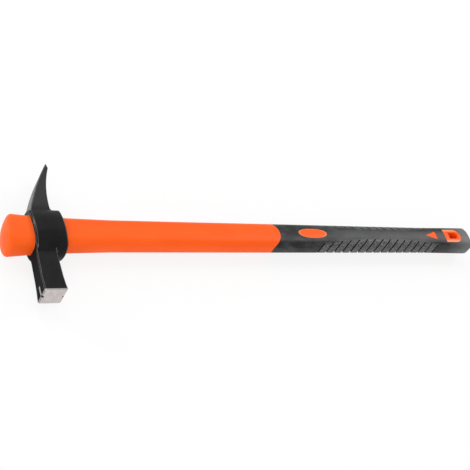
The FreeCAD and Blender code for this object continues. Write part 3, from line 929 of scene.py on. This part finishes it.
@dataclass
class Grip:
    """The black rubber sleeve with its finger grooves and windows."""

    nodes: dict
    plan: GripPlan
    crease: float = CREASE
    corner_fill: float = 2.2 * MM
    corner_across: Span = (8 * MM, 13.5 * MM)
    rim_fill: float = 1.2 * MM
    rim_height: Span = (5.5 * MM, 10 * MM)
    fill_from_end: Span = (15 * MM, 4 * MM)

    def build(self) -> list[bpy.types.Object]:
        """Dress the sleeve.

        Returns:
            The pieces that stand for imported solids.
        """
        node = self.nodes["grip_sleeve"]
        sleeve = smooth_copy(node, "rubber_sleeve", self.crease, self._shape)
        sleeve.data.materials.append(GripRubber(self.plan).make())
        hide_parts("grip_sleeve")
        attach(sleeve, "root")
        return [sleeve]

    def _shape(self, work: bmesh.types.BMesh) -> None:
        """Round the lens's window, and fill out the corners and the rim of the butt.

        Args:
            work: The sleeve's mesh.
        """
        self.plan.round_the_lens(work)
        begin, full = (self.plan.end - length for length in self.fill_from_end)
        for vert in work.verts:
            corner = fading(abs(vert.co.y - self.plan.axis_y), *self.corner_across)
            rim = fading(abs(vert.co.z - self.plan.middle_z), *self.rim_height)
            fill = corner * self.corner_fill + rim * self.rim_fill
            moved = vert.co.x + fill * fading(vert.co.x, begin, full)
            vert.co.x = min(moved, self.plan.end)


# Studio


@dataclass
class Viewpoint:
    """The camera, at the photograph's angle."""

    place: Vector = field(default_factory=lambda: Vector((-0.5828, -0.5491, 0.7376)))
    right: Vector = field(default_factory=lambda: Vector((0.8548, -0.303, 0.4214)))
    down: Vector = field(default_factory=lambda: Vector((0.0123, -0.7999, -0.6)))
    lens: float = 80.26
    film: float = 36.0
    farthest: float = 50.0

    def build(self) -> bpy.types.Object:
        """Make the camera and select it.

        Returns:
            The camera.
        """
        right = self.right.normalized()
        up = (-self.down + right * right.dot(self.down)).normalized()
        back = right.cross(up)
        data = bpy.data.cameras.new("viewpoint")
        data.lens = self.lens
        data.sensor_width = self.film
        data.sensor_height = self.film
        data.sensor_fit = "HORIZONTAL"
        data.clip_end = self.farthest
        camera = put_in_scene("viewpoint", data)
        turn = Matrix((right, up, back)).transposed().to_4x4()
        camera.matrix_world = Matrix.Translation(self.place) @ turn
        bpy.context.scene.camera = camera
        return camera


@dataclass
class Lamp:
    """One soft square lamp that looks at the hammer."""

    name: str
    place: tuple[float, float, float]
    side: float
    power: float
    aim: tuple[float, float, float] = (0.0, 0.0, 0.0)

    def build(self) -> bpy.types.Object:
        """Make the lamp.

        Returns:
            The lamp.
        """
        data = bpy.data.lights.new(self.name, "AREA")
        data.shape = "SQUARE"
        data.size = self.side
        data.energy = self.power
        lamp = put_in_scene(self.name, data)
        lamp.location = self.place
        way = Vector(self.aim) - Vector(self.place)
        lamp.rotation_euler = way.to_track_quat("-Z", "Y").to_euler()
        return lamp


@dataclass
class Studio:
    """The pale floor, the even sky and the soft lamps."""

    floor_side: float = 12.0
    floor_colour: Colour = rgb(0.93, 0.93, 0.93)
    floor_rough: float = 0.9
    floor_glow: float = 0.85
    sky: float = 0.4
    lamps: tuple[Lamp, ...] = (
        Lamp("key_lamp", (-0.3, 1.1, 1.5), 1.3, 14.0),
        Lamp("side_lamp", (1.05, 0.35, 1.1), 0.35, 6.0, (0.1, 0.0, 0.03)),
        Lamp("front_lamp", (-0.7, -1.3, 0.7), 1.2, 13.0),
        Lamp("rim_lamp", (-1.36, 0.95, 0.5), 0.3, 9.0, (-0.24, 0.0, 0.02)),
    )

    def build(self) -> None:
        """Make the floor, the sky and the lamps."""
        self._floor()
        self._sky()
        for lamp in self.lamps:
            lamp.build()

    def _floor(self) -> None:
        """Make the floor just below the hammer. What shows of it is nearly white."""
        work = bmesh.new()
        bmesh.ops.create_grid(work, x_segments=1, y_segments=1, size=self.floor_side / 2)
        floor = put_in_scene("floor", to_mesh(work, "floor"))
        board = Board("floor_pale")
        plain = {"Base Color": self.floor_colour, "Roughness": self.floor_rough}
        plain["Specular IOR Level"] = 0.0
        floor.data.materials.append(board.finish(plain, {}))
        glow = board.node("ShaderNodeEmission", {}, {"Color": WHITE, "Strength": 1.0})
        share = board.seen_directly() * self.floor_glow
        values = {0: share, 1: board.shader.outputs[0], 2: glow.outputs[0]}
        blend = board.node("ShaderNodeMixShader", {}, values)
        board.link(blend.outputs[0], board.tree.nodes["Material Output"].inputs["Surface"])

    def _sky(self) -> None:
        """Make an even sky that shows white and lights the hammer softly."""
        world = bpy.data.worlds.new("even_sky")
        world.use_nodes = True
        bpy.context.scene.world = world
        wiring = Wiring(world.node_tree)
        background = wiring.tree.nodes["Background"]
        background.inputs["Color"].default_value = WHITE
        level = wiring.seen_directly() * (1.0 - self.sky) + self.sky
        wiring.link(level, background.inputs["Strength"])


def main() -> None:
    logging.basicConfig(level=logging.INFO, format="%(name)s: %(message)s")
    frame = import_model()
    bpy.context.scene.view_settings.view_transform = "Standard"
    Viewpoint().build()
    nodes = frame["nodes"]
    low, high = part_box("grip_sleeve")
    middle = (low + high) / 2
    plan = GripPlan(start=low.x, end=high.x, axis_y=middle.y, middle_z=middle.z)
    for part in (Head(nodes), Handle(nodes, plan), Grip(nodes, plan)):
        for piece in part.build():
            LOG.info("%s: %d faces", piece.name, len(piece.data.polygons))
    Studio().build()


if __name__ == "__main__":
    main()
